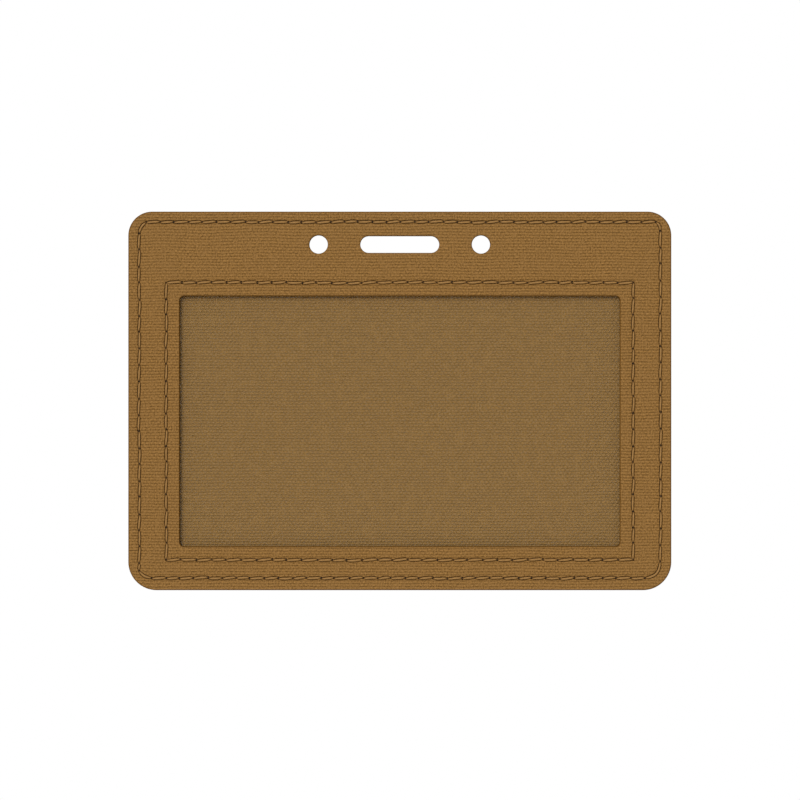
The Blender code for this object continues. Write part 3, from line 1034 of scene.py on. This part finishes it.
def board_material():
    """Dense fibreboard, seen at its cut edges."""
    material, tree, shader = new_material("fibreboard")
    coordinates = object_coordinates(tree)
    fibres = cloud(tree, coordinates, BOARD_FIBRE_SIZE, detail=4.0, roughness=BOARD_FIBRE_ROUGHNESS)
    connect(tree, shader.inputs["Base Color"], blend_colours(tree, fibres, BOARD_DARK, BOARD_LIGHT))
    shader.inputs["Roughness"].default_value = 0.85
    shader.inputs["Specular IOR Level"].default_value = 0.2
    bump(tree, fibres, BOARD_BUMP, shader)
    return material


def finish_core_board():
    """The core board keeps its CAD shape, with a new material."""
    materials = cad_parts["core_board"].data.materials
    materials.clear()
    materials.append(board_material())


def make_camera():
    panel_width = RIGHT - LEFT
    frame_width = panel_width * PHOTO_SIDE_PIXELS / PANEL_WIDTH_PIXELS
    pixel = frame_width / PHOTO_SIDE_PIXELS
    data = bpy.data.cameras.new("camera")
    data.sensor_width = SENSOR_WIDTH_MM
    data.lens = SENSOR_WIDTH_MM * CAMERA_DISTANCE / frame_width
    camera = bpy.data.objects.new("camera", data)
    middle = PHOTO_SIDE_PIXELS / 2
    right = (middle - PANEL_CENTRE_PIXELS[0]) * pixel
    up = (PANEL_CENTRE_PIXELS[1] - middle) * pixel
    camera.location = ((LEFT + RIGHT) / 2 + right, FACE_LOW.y - CAMERA_DISTANCE, (BOTTOM + TOP) / 2 + up)
    camera.rotation_euler = (math.radians(90), 0, 0)
    bpy.context.scene.collection.objects.link(camera)
    bpy.context.scene.camera = camera


def make_sun(name, towards, strength):
    """A far lamp that shines along this direction, with soft shadows."""
    data = bpy.data.lights.new(name, "SUN")
    data.energy = strength
    data.angle = math.radians(LAMP_SPREAD_DEGREES)
    sun = bpy.data.objects.new(name, data)
    sun.rotation_euler = Vector(towards).to_track_quat("-Z", "Y").to_euler()
    bpy.context.scene.collection.objects.link(sun)


def make_world():
    """An even soft light, with a white background for the camera and in reflections."""
    world = bpy.data.worlds.new("studio")
    world.use_nodes = True
    bpy.context.scene.world = world
    tree = world.node_tree
    tree.nodes.clear()
    rays = tree.nodes.new("ShaderNodeLightPath").outputs
    seen = calc(tree, "MAXIMUM", rays["Is Camera Ray"], rays["Is Glossy Ray"])
    seen = calc(tree, "MAXIMUM", seen, rays["Is Transmission Ray"])
    background = tree.nodes.new("ShaderNodeBackground")
    background.inputs["Color"].default_value = (1.0, 1.0, 1.0, 1.0)
    connect(tree, background.inputs["Strength"], remap(tree, seen, (0.0, 1.0), (SOFT_LIGHT, 1.0)))
    output = tree.nodes.new("ShaderNodeOutputWorld")
    connect(tree, output.inputs["Surface"], background.outputs[0])


def make_floor():
    bm = bmesh.new()
    half = FLOOR_SIZE / 2
    corners = [(-half, -half), (half, -half), (half, half), (-half, half)]
    bm.faces.new([bm.verts.new((x, y, -FLOOR_DROP)) for x, y in corners])
    floor = mesh_object(bm, "floor")
    material, tree, shader = new_material("pale_floor")
    shader.inputs["Base Color"].default_value = (*FLOOR_COLOUR, 1.0)
    shader.inputs["Roughness"].default_value = 0.9
    shader.inputs["Specular IOR Level"].default_value = 0.1
    floor.data.materials.append(material)


def main():
    bpy.context.scene.view_settings.view_transform = "Standard"
    make_camera()
    make_world()
    make_floor()
    make_sun("key", KEY_DIRECTION, KEY_LIGHT)
    make_sun("back", BACK_DIRECTION, BACK_LIGHT)

    leather = leatherette_material()
    edge = cut_edge_and_shade_material()
    thread = thread_material()
    outer_holes = outer_seam()
    window_holes = window_seam()
    header_holes, pocket_holes = back_seam_runs(outer_holes)

    make_face(leather, edge)
    make_back_header(header_holes, leather, edge)
    make_back_panel(pocket_holes, leather, edge)
    make_film(film_material())
    make_lining(lining_material())
    make_thread("outer_stitches", "perimeter_needle_thread", outer_holes, FACE_LOW.y, -1, thread)
    make_thread("window_stitches", "window_needle_thread", window_holes, FACE_LOW.y, -1, thread)
    back = BACK_PANEL_HIGH.y
    make_thread("back_stitches", "perimeter_bobbin_thread", outer_holes, back, 1, thread, mouth_dip)
    # The film has no pressed channel, so its thread lies behind it
    behind_film = FILM_HIGH.y + 2 * THREAD_RADIUS
    make_thread("film_stitches", "window_bobbin_thread", window_holes, behind_film, 1, thread)
    finish_core_board()


main()
